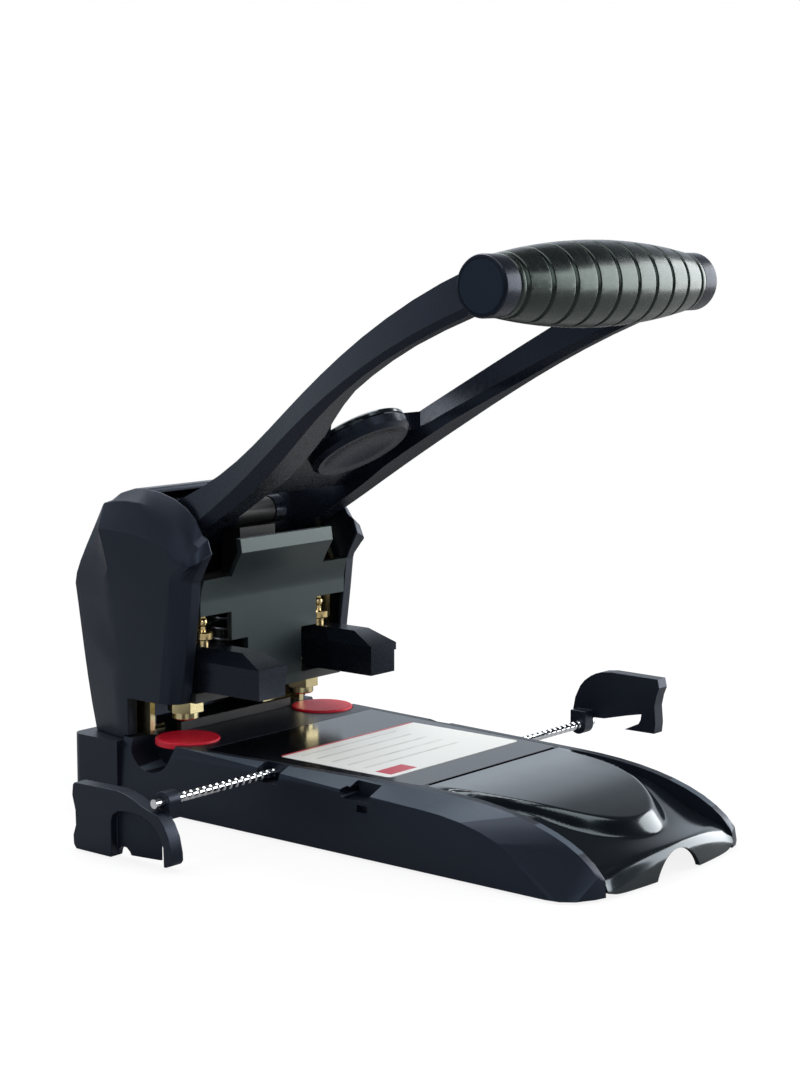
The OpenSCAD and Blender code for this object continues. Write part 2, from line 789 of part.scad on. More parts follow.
// Plate between the arms along their crease, from which the boss stands forward
module arm_web() {
    low = curve(arm_mid, arm_steps);
    inner = [for (s = arm_slices) if (s[4][1] > web_end - 12) [s[4][0] + 1, s[4][1]]];
    other = [for (p = reversed(inner)) [-p[0], p[1]]];
    intersection() {
        profile_x(-arm_out_grip, arm_out_grip)
            polygon(concat(low, [for (p = reversed(low)) [p[0], p[1] + web_t]]));
        linear_extrude(big) polygon(concat(inner, other));
        box([-big, web_end, 0], [big, web_start, big]);
    }
}

// Puts a piece on the boss's own axis, with 0 on the boss's middle
module on_boss() {
    translate([0, boss_y, boss_z]) rotate([-boss_tilt, 0, 0]) children();
}

boss_low = -5;
boss_high = 1;
dish_depth = 4;
dish_rim = 3.5;
dish_r = (pow(boss_d / 2 - dish_rim, 2) + pow(dish_depth, 2)) / (2 * dish_depth);

module boss() {
    r = boss_d / 2;
    on_boss() rotate_extrude() polygon([[0, boss_low], [r - 2, boss_low], [r, boss_low + 2],
        [r, boss_high], [0, boss_high]]);
}

module roller_cheek() {
    profile_x(cheek_in, cheek_out) {
        translate([roller_y, roller_z]) circle(roller_pin_d / 2 + 3.5);
        polygon([[roller_y, roller_z + 5], [roller_y, roller_z - 5], [pivot_y, pivot_z - 9],
            [pivot_y, pivot_z + 11]]);
    }
}

// Round end of an arm that the grip's core passes through
module grip_eye() {
    r = grip_end_d / 2;
    turned_x(grip_y, grip_z) polygon([[0, arm_in_grip], [r, arm_in_grip], [r, arm_out_grip - 1.2],
        [r - 0.4, arm_out_grip - 0.4], [r - 1.2, arm_out_grip], [0, arm_out_grip]]);
}

module handle_frame() {
    color(black_plastic) difference() {
        union() {
            both_sides() {
                arm();
                along_x(cheek_in, arm_out_hub, pivot_y, pivot_z, hub_d / 2);
                roller_cheek();
                grip_eye();
            }
            arm_web();
            boss();
        }
        along_x(-big, big, pivot_y, pivot_z, shaft_d / 2 + run_fit);
        along_x(-cheek_out - 1, cheek_out + 1, roller_y, roller_z, roller_pin_d / 2);
        along_x(-arm_out_grip + cap_t, arm_out_grip - cap_t, grip_y, grip_z, core_d / 2);
        both_sides() along_x(arm_out_grip - cap_t, arm_out_grip + 1, grip_y, grip_z, cap_d / 2);
        on_boss() translate([0, 0, boss_low + dish_depth - dish_r]) sphere(dish_r, $fn = 96);
        on_boss() translate([0, 0, boss_high]) cylinder(h = lid_t * 3, r = boss_d / 2 + pass_gap);
        along_x(-arm_in_grip, arm_in_grip, grip_y, grip_z, barrel_r(arm_in_grip - 9) + 2 * pass_gap);
    }
}

module grip_core() {
    half = arm_out_grip - cap_t;
    color(bright_steel) along_x(-half, half, grip_y, grip_z, core_d / 2);
}

// Barrel outline as (radius, x), with grooves cut at an even pitch
function barrel_r(x) = mix(grip_d, grip_end_d, pow(x / sleeve_half, 2)) / 2;
groove_xs = [for (i = [0 : groove_count - 1]) let (x = (i - (groove_count - 1) / 2) * groove_pitch)
    if (abs(x) < sleeve_half - groove_w) x];
barrel_points = concat(
    [[barrel_r(sleeve_half), -sleeve_half]],
    [for (x = groove_xs) each [
        [barrel_r(x - groove_w / 2), x - groove_w / 2], [barrel_r(x) - groove_depth, x],
        [barrel_r(x + groove_w / 2), x + groove_w / 2]]],
    [[barrel_r(sleeve_half), sleeve_half]]);

module grip_sleeve() {
    color(rubber_black) turned_x(grip_y, grip_z) polygon(concat(
        [[core_d / 2, sleeve_half], [core_d / 2, -sleeve_half]], barrel_points));
}

module grip_cap(s) {
    color(grey_cover) on_side(s) along_x(arm_out_grip - cap_t, arm_out_grip, grip_y, grip_z, cap_d / 2);
}

module grip_cap_left() grip_cap(-1);
module grip_cap_right() grip_cap(1);

module boss_lid() {
    r = boss_d / 2;
    color(gloss_dark) on_boss() translate([0, 0, boss_high]) rotate_extrude() polygon(concat(
        [[0, 0], [r - 1.2, 0], [r - 1.2, 0.8], [r, 0.8], [r, 2]],
        [for (i = [0 : 6]) let (a = 90 * i / 6) [r - 3 + 3 * cos(a), 2 + (lid_t - 2) * sin(a)]],
        [[0, lid_t + 0.8]]));
}

module press_roller() {
    color(black_steel) difference() {
        along_x(-post_half - 0.5, post_half + 0.5, roller_y, roller_z, roller_d / 2);
        along_x(-big, big, roller_y, roller_z, roller_pin_d / 2 + run_fit);
    }
}

module roller_pin() {
    color(black_steel) along_x(-cheek_out, cheek_out, roller_y, roller_z, roller_pin_d / 2);
}

// Punches and their crosshead

module crosshead() {
    color(black_steel) union() {
        box([-crosshead_half, crosshead_front, crosshead_z],
            [crosshead_half, crosshead_rear, crosshead_z + crosshead_h]);
        box([-post_half, roller_y - post_depth / 2, crosshead_z + crosshead_h - 1],
            [post_half, roller_y + post_depth / 2, post_top]);
    }
}

module punch(s) {
    tip_r = hole_d / 2;
    shank_r = shank_d / 2;
    wall = 0.8;
    color(bright_steel) on_side(s) translate([punch_x, punch_y, 0]) rotate_extrude() polygon([
        [tip_r - wall, tip_z + 1], [tip_r - 0.1, tip_z], [tip_r, tip_z + 0.4], [tip_r, tip_z + tip_len],
        [shank_r, tip_z + tip_len + 2], [shank_r, crosshead_z], [0, crosshead_z], [0, tip_z + 30],
        [tip_r - wall, tip_z + 28]
    ]);
}

module punch_left() punch(-1);
module punch_right() punch(1);

head_body_r = 5.5;
head_stem_r = 2.2;

// Turned brass post that a lever swings on: a shank in the bridge, a collar, a waist, a ball and a button
module lever_post(s) {
    ball_z = head_z + head_body_h + head_ball_r + 1;
    top_z = ball_z + head_ball_r + 2.5;
    color(brass_tone) on_side(s) translate([punch_x, -lever_axis_y, 0]) rotate_extrude() polygon(concat(
        [[0, throat_z], [lever_post_r, throat_z], [lever_post_r, head_z], [head_body_r - 0.5, head_z],
            [head_body_r, head_z + 0.5], [head_body_r, head_z + head_body_h - 0.7],
            [head_body_r - 0.7, head_z + head_body_h], [head_stem_r, head_z + head_body_h]],
        [for (i = [0 : 8]) let (a = mix(-43, 43, i / 8))
            [head_ball_r * cos(a), ball_z + head_ball_r * sin(a)]],
        [[head_stem_r, top_z - 2], [head_body_r - 1.5, top_z - 2], [head_body_r - 1.5, top_z],
            [0, top_z]]));
}

module lever_post_left() lever_post(-1);
module lever_post_right() lever_post(1);

lever_mid = punch_x - 1.3;
lever_cap_h = 3.5;
lever_cap_proud = 0.6;
lever_hub_r = 6;
lever_back = -lever_axis_y + 1;

// Block with an overhanging cap and a hipped roof, on a hub that turns on its post
module release_lever(s) {
    x0 = lever_mid - lever_w / 2;
    x1 = lever_mid + lever_w / 2;
    y0 = -lever_reach;
    cap_z = lever_z + lever_h - lever_cap_h;
    p = lever_cap_proud;
    color(black_plastic) on_side(s) difference() {
        union() {
            box([x0 + p, y0 + p, lever_z], [x1 - p, lever_back, cap_z]);
            hull() {
                box([x0, y0, cap_z], [x1, lever_back, lever_z + lever_h]);
                box([x0 + 4, y0 + 14, cap_z], [x1 - 4, lever_back, lever_z + lever_h + lever_roof]);
            }
            post(punch_x, -lever_axis_y, lever_z, lever_z + lever_h + lever_roof, lever_hub_r);
        }
        post(punch_x, -lever_axis_y, lever_z - 1, lever_z + lever_h + lever_roof + 1,
            lever_post_r + run_fit);
    }
}

module release_lever_left() release_lever(-1);
module release_lever_right() release_lever(1);

module cutting_disc(s) {
    r = disc_d / 2;
    color(disc_red) on_side(s) translate([disc_x, 0, 0]) rotate_extrude() polygon([
        [0, disc_under - disc_stub_len], [disc_stub_d / 2, disc_under - disc_stub_len],
        [disc_stub_d / 2, disc_under], [r - 0.3, disc_under], [r, disc_under + 0.3],
        [r, disc_top - 0.5], [r - 0.5, disc_top], [0, disc_top]
    ]);
}

module cutting_disc_left() cutting_disc(-1);
module cutting_disc_right() cutting_disc(1);

// Paper guides

ring_margin = 12;
ring_count = floor((rod_len - 2 * ring_margin) / ring_pitch);

// Outline of a rod as (radius, distance from its outer end)
function rod_outline() = concat(
    [[0, 0], [rod_d / 2, 0]],
    [for (i = [0 : ring_count - 1]) let (d = ring_margin + i * ring_pitch) each [
        [rod_d / 2, d], [rod_d / 2 - ring_depth, d + ring_pitch * 0.2],
        [rod_d / 2 - ring_depth, d + ring_pitch * 0.3], [rod_d / 2, d + ring_pitch * 0.5]]],
    [[rod_d / 2, rod_len - 0.8], [rod_d / 2 - 0.8, rod_len], [0, rod_len]]);

module guide_rod(s, y, reach) {
    color(bright_steel) on_side(s) translate([reach - rod_len, -y, rod_z]) rotate([0, 90, 0])
        translate([0, 0, rod_len]) mirror([0, 0, 1]) rotate_extrude() polygon(rod_outline());
}

module guide_rod_left() guide_rod(-1, rod_left_y, rod_left_reach);
module guide_rod_right() guide_rod(1, rod_right_y, rod_right_reach);

guide_drop = rod_z - 0.6;
guide_boss_r = 4.4;
guide_boss_len = 6;
guide_lug = 7;
rod_end_gap = 1.1;

// Outlines about the rod's axis as shares of the guide's length and drop
hanging_outline = [[0.99, 0.04], [1, -0.13], [0.963, -0.37], [0.96, -0.61], [0.994, -0.78], [0.99, -0.93],
    [0.96, -1], [0.52, -1], [0.505, -0.9], [0.47, -0.84], [0.42, -0.85], [0.385, -0.91], [0.37, -0.965],
    [-0.155, -0.955], [-0.205, -0.92], [-0.228, -0.86], [-0.225, -0.74], [-0.192, -0.49], [-0.135, -0.3],
    [-0.06, -0.156], [0.082, -0.095], [0.245, 0.02], [0.34, 0.07], [0.43, 0.1], [0.97, 0.08]];
raised_outline = [[0.145, 0.23], [0.12, 0.454], [0.063, 0.673], [0.01, 0.785], [-0.057, 0.875],
    [-0.12, 0.935], [-0.188, 0.975], [-0.302, 1], [-0.845, 0.99], [-0.865, 0.829], [-0.833, 0.68],
    [-0.812, 0.494], [-0.827, 0.19], [-0.816, 0.004], [-0.467, 0], [-0.631, 0.141], [-0.655, 0.22],
    [-0.663, 0.32], [-0.488, 0.253], [-0.231, 0.138], [-0.098, 0.126], [0.082, 0.156]];
// Finger pocket in the outer face, deepest at its rear wall
pocket_outline = [[0.52, -1.2], [0.52, -0.42], [0.5, -0.31], [0.43, -0.23], [0.3, -0.2], [0.15, -0.215],
    [0.03, -0.3], [-0.06, -0.45], [-0.11, -0.65], [-0.12, -1.2]];
pocket_depth = 4;
pocket_turn = 7;
pocket_wall_y = pocket_outline[0][0] * guide_len;

function guide_points(shares) = [for (p = shares) [p[0] * guide_len, p[1] * guide_drop]];

// A guide about its rod: a plate, and a boss whose lug joins the plate below (side -1) or above (side 1)
module guide_body(shares, side) {
    boss_in = -guide_t - guide_boss_len;
    difference() {
        union() {
            profile_x(-guide_t, 0) polygon(guide_points(shares));
            profile_x(boss_in, -guide_t + 1) {
                circle(guide_boss_r);
                polygon([[-guide_boss_r, 0], [guide_boss_r, 0], [guide_boss_r, side * guide_lug],
                    [-guide_boss_r, side * guide_lug]]);
            }
        }
        along_x(boss_in - 1, 1, 0, 0, rod_d / 2 + run_fit);
        if (side < 0) translate([-pocket_depth, pocket_wall_y, 0]) rotate([0, 0, -pocket_turn])
            translate([0, -pocket_wall_y, 0]) profile_x(0, pocket_depth * 2)
                polygon(guide_points(pocket_outline));
    }
}

module paper_guide(s, y, reach, shares, side) {
    color(black_plastic) on_side(s) translate([reach + rod_end_gap, -y, rod_z]) guide_body(shares, side);
}

// The left guide hangs folded down and the right one is swung up for use
module paper_guide_left() paper_guide(-1, rod_left_y, rod_left_reach, hanging_outline, -1);
module paper_guide_right() paper_guide(1, rod_right_y, rod_right_reach, raised_outline, 1);

// Drawer

module drawer_tray() {
    color(gloss_dark) difference() {
        box([-tray_half, tray_front, tray_z], [tray_half, tray_rear, tray_z + tray_h]);
        box([-tray_half + drawer_wall, tray_front + drawer_wall, tray_z + drawer_wall],
            [tray_half - drawer_wall, tray_rear - drawer_wall, tray_z + tray_h + 1]);
    }
}

tongue_len = 78;
tongue_half_rear = hood_w / 2 - 1.7;
tongue_edge = 0.08;
hollow_depth = 5;
lip_start = -base_front + 14;
lip_front = -base_front + 1;
lip_height = 13.5;
lip_bow = 4.5;
hood_wall = 2.5;
hood_cols = 24;
hood_rows = 22;

// Heights along the hood from its rear edge: over the tongue, and in the hollows beside it down to the lip
tongue_line = [for (p = curve([[0, deck_z], [32, deck_z], [tongue_len - 16, deck_z - 4],
    [tongue_len + 2, deck_z - 11]], 12)) p];
hollow_line = concat([[0, deck_z], [9, deck_z - 0.4], [20, deck_z - hollow_depth * 0.5],
        [38, deck_z - hollow_depth], [55, deck_z - hollow_depth - 2.5], [68, deck_z - hollow_depth - 8]],
    [[-lip_start - hood_rear, lip_height + 1], [-lip_front - hood_rear - 4, lip_height - 1],
        [-lip_front - hood_rear, lip_height - 4.5]]);
function smooth01(v) = let (c = clamp01(v)) c * c * (3 - 2 * c);
function hood_height(x, back) = let (
        reach = norm([x / tongue_half_rear, back / tongue_len]),
        share = smooth01((1 - reach) / tongue_edge + 0.5))
    mix(lookup(back, hollow_line), lookup(back, tongue_line), share);
function hood_point(i, j) = let (
        x = hood_w * (i / hood_cols - 0.5),
        front = lip_front + lip_bow * pow(2 * x / hood_w, 2),
        y = mix(-hood_rear, front, j / hood_rows),
        bow = lip_front - front)
    [x, y, hood_height(x, -hood_rear - y - bow * pow(j / hood_rows, 4))];

// Block under the hood's surface: a grid of heights over a flat floor
module hood_block() {
    n = hood_cols + 1;
    m = hood_rows + 1;
    top = [for (j = [0 : hood_rows], i = [0 : hood_cols]) hood_point(i, j)];
    under = [for (p = top) [p[0], p[1], hood_z]];
    ring = concat([for (i = [0 : hood_cols]) i], [for (j = [1 : hood_rows]) j * n + hood_cols],
        [for (i = [hood_cols - 1 : -1 : 0]) hood_rows * n + i], [for (j = [hood_rows - 1 : -1 : 1]) j * n]);
    faces = concat(
        [for (j = [0 : hood_rows - 1], i = [0 : hood_cols - 1]) let (a = j * n + i)
            each [[a, a + 1, a + n + 1], [a, a + n + 1, a + n]]],
        [for (k = [0 : len(ring) - 1]) let (a = ring[k], b = ring[(k + 1) % len(ring)])
            each [[b, a, a + n * m], [b, a + n * m, b + n * m]]],
        [[for (k = [len(ring) - 1 : -1 : 0]) ring[k] + n * m]]);
    polyhedron(concat(top, under), faces);
}

module drawer_hood() {
    half = hood_w / 2;
    color(gloss_dark) resize([hood_w, 0, 0]) difference() {
        hood_block();
        box([-half + hood_wall, tray_front, 0], [half - hood_wall, 0, tray_z + tray_h + 1]);
        translate([0, 0, finger_h - finger_r]) rotate([90, 0, 0])
            linear_extrude(big) circle(finger_r);
        box([-finger_r, -big, -1], [finger_r, lip_start + 9, finger_h - finger_r]);
    }
}

base_shell();
base_plate();
base_mat();
base_screws();
deck_plate();
paper_stop();
frame_left();
frame_right();
foot_bolts();
lower_bridge();
bridge_screws();
guide_bush_left();
guide_bush_right();
guide_nut_left();
guide_nut_right();
pivot_shaft();
shaft_clips();
spring_posts();
return_spring_left();
return_spring_right();
side_cover_left();
side_cover_right();
front_cover();
rear_cover();
handle_frame();
grip_core();
grip_sleeve();
grip_cap_left();
grip_cap_right();
boss_lid();
press_roller();
roller_pin();
crosshead();
punch_left();
punch_right();
lever_post_left();
lever_post_right();
release_lever_left();
release_lever_right();
cutting_disc_left();
cutting_disc_right();
guide_rod_left();
guide_rod_right();
paper_guide_left();
paper_guide_right();
drawer_tray();
drawer_hood();
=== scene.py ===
"""Looks of a heavy duty two-hole punch: finishes, softened mouldings, label, studio and camera.

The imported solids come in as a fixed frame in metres. Visible mouldings are replaced by copies whose
edges are broken and whose curves are shaded smooth. Every other solid keeps its mesh and gets a
finish.
"""
import json
import logging
import math
from dataclasses import dataclass
from enum import Enum
from typing import Any

import bpy
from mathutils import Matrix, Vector

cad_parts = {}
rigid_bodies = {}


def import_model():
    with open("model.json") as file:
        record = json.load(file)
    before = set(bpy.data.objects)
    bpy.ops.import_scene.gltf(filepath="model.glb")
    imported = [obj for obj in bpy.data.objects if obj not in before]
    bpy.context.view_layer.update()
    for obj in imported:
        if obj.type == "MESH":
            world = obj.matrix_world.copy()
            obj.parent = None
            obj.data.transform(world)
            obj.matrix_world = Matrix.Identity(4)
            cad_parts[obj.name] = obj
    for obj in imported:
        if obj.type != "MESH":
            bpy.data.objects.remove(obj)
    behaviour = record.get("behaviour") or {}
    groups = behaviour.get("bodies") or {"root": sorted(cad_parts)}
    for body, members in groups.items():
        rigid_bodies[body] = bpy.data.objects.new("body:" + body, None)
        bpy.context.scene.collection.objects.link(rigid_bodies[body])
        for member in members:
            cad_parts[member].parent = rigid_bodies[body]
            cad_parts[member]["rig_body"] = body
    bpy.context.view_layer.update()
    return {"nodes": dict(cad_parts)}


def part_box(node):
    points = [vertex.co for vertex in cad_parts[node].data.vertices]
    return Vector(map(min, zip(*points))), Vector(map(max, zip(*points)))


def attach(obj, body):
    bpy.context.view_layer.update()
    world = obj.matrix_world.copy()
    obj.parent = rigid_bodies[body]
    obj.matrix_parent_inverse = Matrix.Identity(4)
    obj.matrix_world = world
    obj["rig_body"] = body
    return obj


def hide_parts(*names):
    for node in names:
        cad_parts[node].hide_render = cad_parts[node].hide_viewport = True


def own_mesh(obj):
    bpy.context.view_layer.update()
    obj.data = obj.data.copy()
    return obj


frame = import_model()
MM = 0.001
LOG = logging.getLogger("hole_punch")


class Side(Enum):
    """The two sides of the punch, as the CAD nodes name them."""

    LEFT = "left"
    RIGHT = "right"


class Grain(Enum):
    """How a surface was made, as the scale of its fine pattern along X, Y and Z."""

    MOULDED = (1.0, 1.0, 1.0)
    BRUSHED_X = (0.04, 1.0, 1.0)


def linear(code: str) -> tuple[float, float, float, float]:
    """Turns an sRGB hex colour into a linear one.

    Args:
        code: Colour such as "#23262c".

    Returns:
        Red, green, blue and alpha as linear values.
    """
    values = [int(code[i:i + 2], 16) / 255 for i in (1, 3, 5)]
    red, green, blue = (
        v / 12.92 if v <= 0.04045 else ((v + 0.055) / 1.055) ** 2.4 for v in values)
    return red, green, blue, 1.0


def add_node(tree: bpy.types.NodeTree, kind: str, inputs: dict[str | int, Any] | None = None,
             **settings: Any) -> bpy.types.Node:
    """Adds one node with its settings, socket values and links.

    Args:
        tree: Tree that takes the node.
        kind: Blender's name for the node.
        inputs: Value, or socket to link from, for each input by its name or number.
        **settings: Properties of the node itself.

    Returns:
        The new node.
    """
    made = tree.nodes.new(kind)
    for key, value in settings.items():
        setattr(made, key, value)
    for key, value in (inputs or {}).items():
        if isinstance(value, bpy.types.NodeSocket):
            tree.links.new(value, made.inputs[key])
        else:
            made.inputs[key].default_value = value
    return made


def empty_material(name: str) -> bpy.types.Material:
    """Makes a material with an empty node tree.

    Args:
        name: Name of the real material.

    Returns:
        The new material.
    """
    made = bpy.data.materials.new(name)
    made.use_nodes = True
    made.node_tree.nodes.clear()
    return made


@dataclass(frozen=True)
class Finish:
    """One real surface: two tones that drift into each other, a roughness range and a fine relief.

    Grain and drift are the widths of the patterns in millimetres, and relief is the fine one's
    height. The noise span is the part of a noise's range in which nearly all of its values lie.
    """

    name: str
    tone: str
    shade: str
    rough: tuple[float, float]
    grain_mm: float
    relief_mm: float
    metal: float = 0.0
    ior: float = 1.5
    grain: Grain = Grain.MOULDED
    grain_detail: float = 2.0
    drift_mm: float = 30.0
    drift_detail: float = 3.0
    noise_span: tuple[float, float] = (0.3, 0.7)
    bump: float = 0.4
    coat: float = 0.0
    coat_rough: float = 0.1
    sheen_tone: str = "#ffffff"

    def material(self) -> bpy.types.Material:
        """Builds the material, or gives it where it is built already.

        Returns:
            The material, which reads Object coordinates only.
        """
        known = bpy.data.materials.get(self.name)
        if known:
            return known
        made = empty_material(self.name)
        tree = made.node_tree
        place = add_node(tree, "ShaderNodeTexCoord")
        drift = add_node(tree, "ShaderNodeTexNoise", {
            "Vector": place.outputs["Object"], "Scale": 1 / (self.drift_mm * MM),
            "Detail": self.drift_detail})
        laid = add_node(tree, "ShaderNodeMapping", {
            "Vector": place.outputs["Object"], "Scale": self.grain.value})
        fine = add_node(tree, "ShaderNodeTexNoise", {
            "Vector": laid.outputs["Vector"], "Scale": 1 / (self.grain_mm * MM),
            "Detail": self.grain_detail})
        colour = add_node(tree, "ShaderNodeMix", {
            0: drift.outputs["Fac"], 6: linear(self.shade), 7: linear(self.tone)},
            data_type="RGBA")
        rough = add_node(tree, "ShaderNodeMapRange", {
            "Value": fine.outputs["Fac"], "From Min": self.noise_span[0],
            "From Max": self.noise_span[1], "To Min": self.rough[0], "To Max": self.rough[1]})
        bump = add_node(tree, "ShaderNodeBump", {
            "Height": fine.outputs["Fac"], "Strength": self.bump, "Distance": self.relief_mm * MM})
        shader = add_node(tree, "ShaderNodeBsdfPrincipled", {
            "Base Color": colour.outputs[2], "Roughness": rough.outputs["Result"],
            "Metallic": self.metal, "IOR": self.ior, "Specular Tint": linear(self.sheen_tone),
            "Coat Weight": self.coat, "Coat Roughness": self.coat_rough,
            "Normal": bump.outputs["Normal"]})
        add_node(tree, "ShaderNodeOutputMaterial", {"Surface": shader.outputs["BSDF"]})
        return made


# Spark-eroded skins, plating and grinding lines have a real grain near 0.1 mm, which is too fine to
# show in the render. It is drawn at 0.25 to 1 mm, as coarse as it needs to show.

# Moulded ABS with a fine spark-eroded skin: near black with a blue cast, a broad soft sheen
BLACK_ABS = Finish("abs_satin_black_moulded", "#141821", "#0d1017", (0.34, 0.42), 0.9, 0.012,
                   sheen_tone="#b9ccee")
# Painted light: the same ABS in a lighter grey on the base's sloping bands, as if they caught more
# light, with a slightly rougher skin
LIT_BAND_ABS = Finish("abs_grey_black_painted_light_band", "#46505c", "#3a434e", (0.4, 0.5), 0.9, 0.02,
                    sheen_tone="#c9dcf0")
# Sheet steel under smooth black enamel: darker than the mouldings, a soft mirror at low angles
DECK_ENAMEL = Finish("enamel_black_on_sheet_steel", "#0b0d12", "#07080b", (0.1, 0.17), 1.5, 0.006,
                     ior=1.32, sheen_tone="#c3cbe6")
# Cast arms under powder coat: a slight orange peel about 2 mm wide breaks up the sheen
HANDLE_POWDER = Finish("powder_coat_satin_black", "#12161f", "#0c0f16", (0.25, 0.32), 2.0, 0.005,
                       ior=1.38, sheen_tone="#b9ccee")
# Dark grey-green ABS, smoother than the covers: an even satin that takes a soft light
GREY_ABS = Finish("abs_dark_grey_satin", "#20282a", "#181f22", (0.3, 0.38), 0.9, 0.01,
                  sheen_tone="#d3e8e6")
# Polished ABS hood: near black under a clear mirror with faint moulding waves
GLOSS_ABS = Finish("abs_polished_dark_grey", "#10151a", "#0a0e12", (0.12, 0.18), 12.0, 0.01,
                   coat=0.35, sheen_tone="#c6e0ee")
# Soft-touch thermoplastic rubber polished by hands: black with a grey-green sheen
GRIP_TPE = Finish("tpe_grip_polished_black", "#0b0f10", "#06090a", (0.23, 0.29), 3.0, 0.01,
                  sheen_tone="#d6f2e6")
# Moulded plug in the ends of the grip: a plain dark grey with a dull sheen
CAP_ABS = Finish("abs_grip_end_grey", "#1f2732", "#171e28", (0.36, 0.46), 0.8, 0.012, ior=1.34,
                 sheen_tone="#b9ccee")
# Levers in a smoother black ABS: they mirror the dark covers behind them
LEVER_ABS = Finish("abs_smooth_black_lever", "#10141b", "#0a0d12", (0.2, 0.28), 0.9, 0.006, ior=1.4,
                   sheen_tone="#b9ccee")
# Matt foamed rubber under the base, with an open grain
MAT_RUBBER = Finish("rubber_matt_black", "#101011", "#0a0a0b", (0.75, 0.9), 1.0, 0.1)
# Steel under yellow zinc passivate: pale straw gold that drifts to a faint green
YELLOW_ZINC = Finish("steel_yellow_zinc", "#ecdfb4", "#c9bb84", (0.2, 0.25), 0.5, 0.0004, metal=1.0,
                     drift_mm=7.0)
# Steel under clear zinc: a dull blue grey
CLEAR_ZINC = Finish("steel_clear_zinc", "#c4c8cc", "#a9adb2", (0.3, 0.45), 0.5, 0.01, metal=1.0)
# Ground steel: bright, with grinding lines along X
GROUND_STEEL = Finish("steel_ground", "#d4d6d9", "#bfc2c6", (0.16, 0.3), 0.25, 0.004, metal=1.0,
                      grain=Grain.BRUSHED_X)
# Machined steel under black oxide: an oily black with a faint broad sheen
BLACK_OXIDE = Finish("steel_black_oxide", "#121316", "#0b0c0e", (0.42, 0.55), 0.5, 0.008)
# Drawn spring wire, darker than the plated pieces
SPRING_WIRE = Finish("spring_wire_drawn", "#8d9095", "#6f7278", (0.3, 0.45), 0.3, 0.005, metal=1.0)
# Turned brass, polished by use: a warm pale mirror
TURNED_BRASS = Finish("brass_turned", "#ead6a4", "#cdb277", (0.16, 0.24), 0.3, 0.002, metal=1.0,
                      drift_mm=5.0)
# Red polyethylene disc: a soft satin face that paper has rubbed
RED_PE = Finish("polyethylene_red", "#d81a34", "#c0122a", (0.4, 0.52), 1.0, 0.012, drift_mm=6.0,
                ior=1.4)
# Bright chrome on the rods: a hard, clear mirror
CHROME = Finish("chrome_bright", "#e6e8ea", "#d6d9dc", (0.04, 0.1), 2.0, 0.002, metal=1.0)


@dataclass(frozen=True)
class LabelPrint:
    """White vinyl label with a soft gloss, printed with ruled lines, a red edge and a red block.

    Places are in millimetres in the shared frame, and rear_mm is the label's rear end.
    """

    rear_mm: float
    name: str = "vinyl_label_printed"
    paper: str = "#eeefeb"
    red: str = "#c2253c"
    ink: str = "#a9a59b"
    rough: float = 0.35
    edge_mm: float = 1.6
    line_pitch_mm: float = 4.6
    line_half_mm: float = 0.7
    ragged_mm: float = 9.0
    ripple: float = 0.1
    ripple_mm: float = 0.05
    block_x_mm: tuple[float, float] = (-42.0, -24.0)
    block_y_mm: tuple[float, float] = (-118.0, -109.0)
    lines_x_mm: tuple[float, float] = (-40.0, 26.0)
    lines_y_mm: tuple[float, float] = (-104.0, -64.0)

    def material(self) -> bpy.types.Material:
        """Builds the printed vinyl.

        Returns:
            The material, whose print is placed by Object coordinates.
        """
        made = empty_material(self.name)
        tree = made.node_tree
        place = add_node(tree, "ShaderNodeTexCoord")
        axes = add_node(tree, "ShaderNodeSeparateXYZ", {"Vector": place.outputs["Object"]})
        spans = {
            "edge": ("Y", self.rear_mm - self.edge_mm, self.rear_mm + self.edge_mm),
            "block_x": ("X", *self.block_x_mm), "block_y": ("Y", *self.block_y_mm),
            "lines_x": ("X", *self.lines_x_mm), "lines_y": ("Y", *self.lines_y_mm)}
        inside = {}
        for key, (axis, low, high) in spans.items():
            middle, half = (low + high) / 2 * MM, (high - low) / 2 * MM
            inside[key] = add_node(tree, "ShaderNodeMath", {
                0: axes.outputs[axis], 1: middle, 2: half}, operation="COMPARE").outputs[0]
        block = add_node(tree, "ShaderNodeMath", {
            0: inside["block_x"], 1: inside["block_y"]}, operation="MULTIPLY")
        red = add_node(tree, "ShaderNodeMath", {
            0: inside["edge"], 1: block.outputs[0]}, operation="MAXIMUM")
        rows = add_node(tree, "ShaderNodeMath", {
            0: axes.outputs["Y"], 1: self.line_pitch_mm * MM}, operation="PINGPONG")
        thin = add_node(tree, "ShaderNodeMath", {
            0: rows.outputs[0], 1: self.line_half_mm * MM}, operation="LESS_THAN")
        ragged = add_node(tree, "ShaderNodeTexNoise", {
            "Vector": place.outputs["Object"], "Scale": 1 / (self.ragged_mm * MM)})
        lines = thin.outputs[0]
        for factor in (inside["lines_x"], inside["lines_y"], ragged.outputs["Fac"]):
            lines = add_node(tree, "ShaderNodeMath", {
                0: lines, 1: factor}, operation="MULTIPLY").outputs[0]
        inked = add_node(tree, "ShaderNodeMix", {
            0: lines, 6: linear(self.paper), 7: linear(self.ink)}, data_type="RGBA")
        printed = add_node(tree, "ShaderNodeMix", {
            0: red.outputs[0], 6: inked.outputs[2], 7: linear(self.red)}, data_type="RGBA")
        bump = add_node(tree, "ShaderNodeBump", {
            "Height": ragged.outputs["Fac"], "Strength": self.ripple,
            "Distance": self.ripple_mm * MM})
        shader = add_node(tree, "ShaderNodeBsdfPrincipled", {
            "Base Color": printed.outputs[2], "Roughness": self.rough,
            "Normal": bump.outputs["Normal"]})
        add_node(tree, "ShaderNodeOutputMaterial", {"Surface": shader.outputs["BSDF"]})
        return made


def body_of(node: str) -> str:
    """Gives the body that a CAD node rides on."""
    return frame["nodes"][node]["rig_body"]


